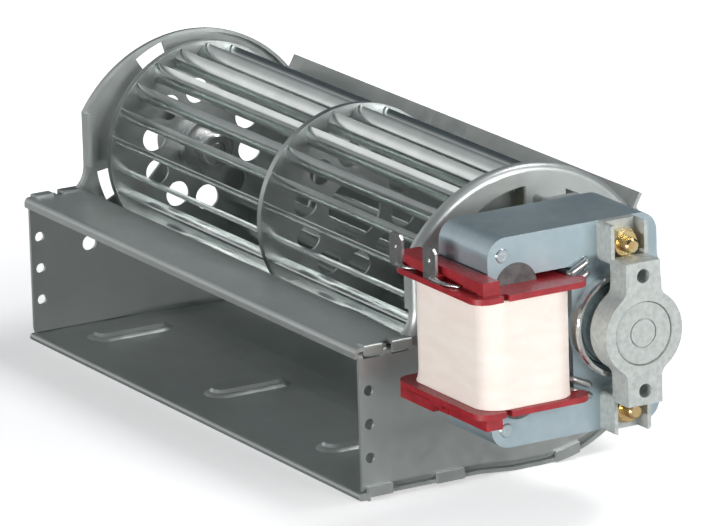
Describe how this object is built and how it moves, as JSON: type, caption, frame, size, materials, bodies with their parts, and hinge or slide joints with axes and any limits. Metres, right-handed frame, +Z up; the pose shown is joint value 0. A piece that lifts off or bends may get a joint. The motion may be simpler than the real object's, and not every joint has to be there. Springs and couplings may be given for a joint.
{
  "type": "cross flow fan",
  "caption": "Cross flow fan: bladed rotor in a folded sheet scroll with a wide outlet, driven by a shaded-pole motor",
  "frame": {"origin": "underside of the housing, at the middle of its length, straight below the rotor axis", "axes": "+X along the rotor axis towards the motor, -Y out of the outlet, +Z up"},
  "size_m": [0.2456, 0.0949, 0.0832],
  "materials": {
    "zinc_sheet": "galvanised sheet, satin",
    "rotor_aluminium": "bright rolled strip",
    "shaft_steel": "ground",
    "lamination_steel": "varnished laminations",
    "cast_bracket": "die-cast, matt",
    "grommet_rubber": "matt",
    "bush_bronze": "sintered",
    "tinned_wire": "tinned",
    "tinned_blade": "tinned blade",
    "bobbin_red": "moulded, slight gloss",
    "winding_copper": "enamelled wire",
    "coil_tape": "smooth insulating tape",
    "yellow_zinc": "yellow chromated zinc"
  },
  "bodies": {
    "housing": {"scroll_sheet": "zinc_sheet", "deck_sheet": "zinc_sheet", "side_plate_left": "zinc_sheet", "side_plate_right": "zinc_sheet", "bearing_bridge": "zinc_sheet", "bearing_grommet": "grommet_rubber", "bush_left": "bush_bronze", "stator_stack": "lamination_steel", "core_leg": "lamination_steel", "stator_rivets": "lamination_steel", "centring_collar": "shaft_steel", "shading_rings": "tinned_wire", "bobbin": "bobbin_red", "coil_winding": "winding_copper", "coil_tape": "coil_tape", "terminal_rear": "tinned_blade", "terminal_front": "tinned_blade", "coil_leads": "tinned_wire", "bearing_bracket_outer": "cast_bracket", "bearing_bracket_inner": "cast_bracket", "motor_bush_outer": "bush_bronze", "motor_bush_inner": "bush_bronze", "bearing_cap": "cast_bracket", "through_bolts": "yellow_zinc", "nuts": "yellow_zinc", "mount_screws": "yellow_zinc"},
    "rotor": {"impeller_disc_left": "rotor_aluminium", "impeller_disc_middle": "rotor_aluminium", "impeller_disc_right": "rotor_aluminium", "blade_01": "rotor_aluminium", "blade_02": "rotor_aluminium", "blade_03": "rotor_aluminium", "blade_04": "rotor_aluminium", "blade_05": "rotor_aluminium", "blade_06": "rotor_aluminium", "blade_07": "rotor_aluminium", "blade_08": "rotor_aluminium", "blade_09": "rotor_aluminium", "blade_10": "rotor_aluminium", "blade_11": "rotor_aluminium", "blade_12": "rotor_aluminium", "blade_13": "rotor_aluminium", "blade_14": "rotor_aluminium", "blade_15": "rotor_aluminium", "blade_16": "rotor_aluminium", "blade_17": "rotor_aluminium", "blade_18": "rotor_aluminium", "blade_19": "rotor_aluminium", "blade_20": "rotor_aluminium", "blade_21": "rotor_aluminium", "blade_22": "rotor_aluminium", "idle_hub": "shaft_steel", "drive_hub": "shaft_steel", "stub_shaft": "shaft_steel", "motor_shaft": "shaft_steel", "motor_rotor": "lamination_steel", "rotor_end_rings": "rotor_aluminium"}
  },
  "joints": [
    {"name": "rotor_spin", "type": "hinge", "parent": "housing", "child": "rotor", "pos_m": [0, 0, 0.0504], "axis": [1, 0, 0], "continuous": true}
  ]
}
